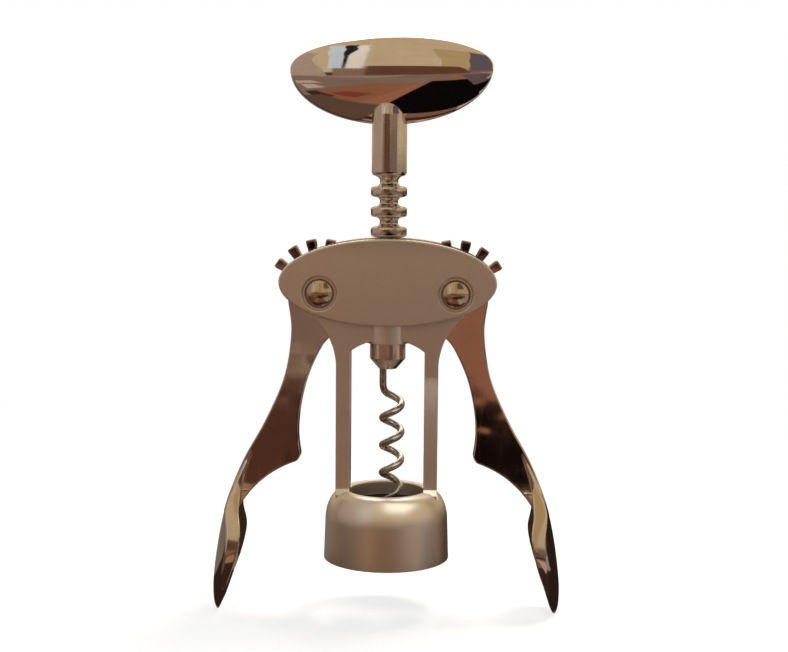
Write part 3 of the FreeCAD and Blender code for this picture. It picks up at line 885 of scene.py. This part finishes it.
def seenWhite(shader):
    # 1 for the camera, mirrors and glass, 0 for the light that falls on things
    camera = shader.add("ShaderNodeLightPath", output="Is Camera Ray")
    mirrored = shader.add("ShaderNodeLightPath", output="Is Glossy Ray")
    through = shader.add("ShaderNodeLightPath", output="Is Transmission Ray")
    return camera + mirrored + through


def buildFloor(height):
    def paint(shader):
        near, far = studio["shadowReach"]
        span = studio["floorSpan"]
        coordinates = shader.add("ShaderNodeTexCoord", output="Object")
        away = shader.add("ShaderNodeVectorMath", {"operation": "LENGTH"}, {0: coordinates}, output="Value")
        faded = shader.ramp(away * (1 / span), near / span, far / span)
        glowShare = seenWhite(shader) * (1 - studio["shadowDepth"] + faded * studio["shadowDepth"])
        lit = shader.add("ShaderNodeBsdfDiffuse", values={"Color": studio["floorColour"]})
        glow = shader.add("ShaderNodeEmission", values={"Color": (1, 1, 1, 1), "Strength": 1.0})
        return shader.add("ShaderNodeMixShader", values={0: glowShare, 1: lit, 2: glow})

    half = studio["floorSpan"] / 2
    stageObject("paleFloor", *flatSheet(-half, half, -half, half, height), paint)


def buildSky():
    world = bpy.data.worlds.new("whiteSurround")
    bpy.context.scene.world = world
    world.use_nodes = True
    shader = Shader(world.node_tree)
    strength = studio["skyFill"] + seenWhite(shader) * (1 - studio["skyFill"])
    sky = shader.add("ShaderNodeBackground", values={"Color": (1, 1, 1, 1), "Strength": strength})
    shader.add("ShaderNodeOutputWorld", values={"Surface": sky})


def buildLamps(target):
    for name, place, width, power, colour in studio["lamps"]:
        lamp = bpy.data.lights.new(name, "AREA")
        lamp.shape = "DISK"
        lamp.size = width
        lamp.energy = power
        lamp.color = colour
        holder = bpy.data.objects.new(name, lamp)
        bpy.context.scene.collection.objects.link(holder)
        holder.location = place
        holder.visible_glossy = False
        holder.rotation_euler = (target - Vector(place)).to_track_quat("-Z", "Y").to_euler()


def mirrorCard(name, points, faces, colour, strength=1.0, patchSize=room["wallPatches"], oneSide=None):
    def paint(shader):
        patches = shader.ramp(shader.noise(patchSize, 4.0), 0.35, 0.7)
        dimmed = tuple(channel * 0.62 for channel in colour[:3]) + (1.0,)
        mixed = shader.blend(patches * 0.22, colour, dimmed)
        glow = shader.add("ShaderNodeEmission", values={"Color": mixed, "Strength": strength})
        if oneSide is None:
            return glow
        seenAbove = shader.add("ShaderNodeNewGeometry", output="Backfacing")
        clear = shader.add("ShaderNodeBsdfTransparent")
        share = seenAbove if oneSide else 1.0 - seenAbove
        return shader.add("ShaderNodeMixShader", values={0: share, 1: clear, 2: glow})

    card = stageObject(name, points, faces, paint)
    card.visible_camera = False
    card.visible_diffuse = False
    card.visible_shadow = False
    card.visible_transmission = False


def shellPatch(middle, radius, *rows):
    # a patch of a shell round a point, smooth through rows given as (turn, rise) of their two ends
    across = max(int(abs(rows[0][1][0] - rows[0][0][0]) / 5), 4)
    upward = 6 * (len(rows) - 1)
    flat = [(*left, *right) for left, right in rows]
    points, faces = [], []
    for row in range(upward + 1):
        leftTurn, leftRise, rightTurn, rightRise = smoothThrough(flat, row / upward * (len(rows) - 1))
        for column in range(across + 1):
            share = column / across
            turn = math.radians(leftTurn + (rightTurn - leftTurn) * share)
            rise = math.radians(leftRise + (rightRise - leftRise) * share)
            ray = Vector((math.sin(turn) * math.cos(rise), -math.cos(turn) * math.cos(rise), math.sin(rise)))
            points.append(middle + ray * radius)
    for row in range(upward):
        for column in range(across):
            corner = row * (across + 1) + column
            faces.append((corner, corner + 1, corner + across + 2, corner + across + 1))
    return points, faces


def buildRoom(target, height):
    # a plain warm room that only the metal mirrors
    radius = room["radius"]
    tableHeight = height + room["tableLift"]
    tablePatches = room["tablePatches"]
    wholeWall = [(-180, -8), (180, -8)], [(-180, 41), (180, 41)], [(-180, 90), (180, 90)]
    mirrorCard("roomWall", *shellPatch(target, radius, *wholeWall), room["wallColour"])
    for order, (name, colour, *rows) in enumerate(room["cards"], 1):
        mirrorCard(name, *shellPatch(target, radius - order * room["cardStep"], *rows), colour)
    glow, strength, *rows = room["backWindow"]
    mirrorCard("backWindow", *shellPatch(target, radius - room["windowInset"], *rows), glow, strength)
    colour, middle, reach, *rows = room["nearDoor"]
    mirrorCard("nearDoor", *shellPatch(Vector(middle), reach, *rows), colour, 1.0, room["doorPatches"])
    mirrorCard("tableTop", *flatSheet(-radius, radius, -radius, radius, tableHeight), room["tableColour"])
    for order, (name, colour, left, right, near, far) in enumerate(room["mats"], 1):
        sheet = flatSheet(left, right, near, far, tableHeight + order * room["matStep"])
        mirrorCard(name, *sheet, colour, 1.0, tablePatches)
    for name, colour, strength, left, right, near, far, lift, fromAbove in room["sheets"]:
        sheet = flatSheet(left, right, near, far, height + lift)
        mirrorCard(name, *sheet, colour, strength, tablePatches, fromAbove)


centre = (cadBox[0] + cadBox[1]) / 2
floorHeight = cadBox[0][2] - 0.0002
buildFloor(floorHeight)
buildSky()
buildLamps(centre)
buildRoom(centre, floorHeight)
bpy.context.scene.view_settings.view_transform = "Standard"
print("camera, floor, lamps and room")
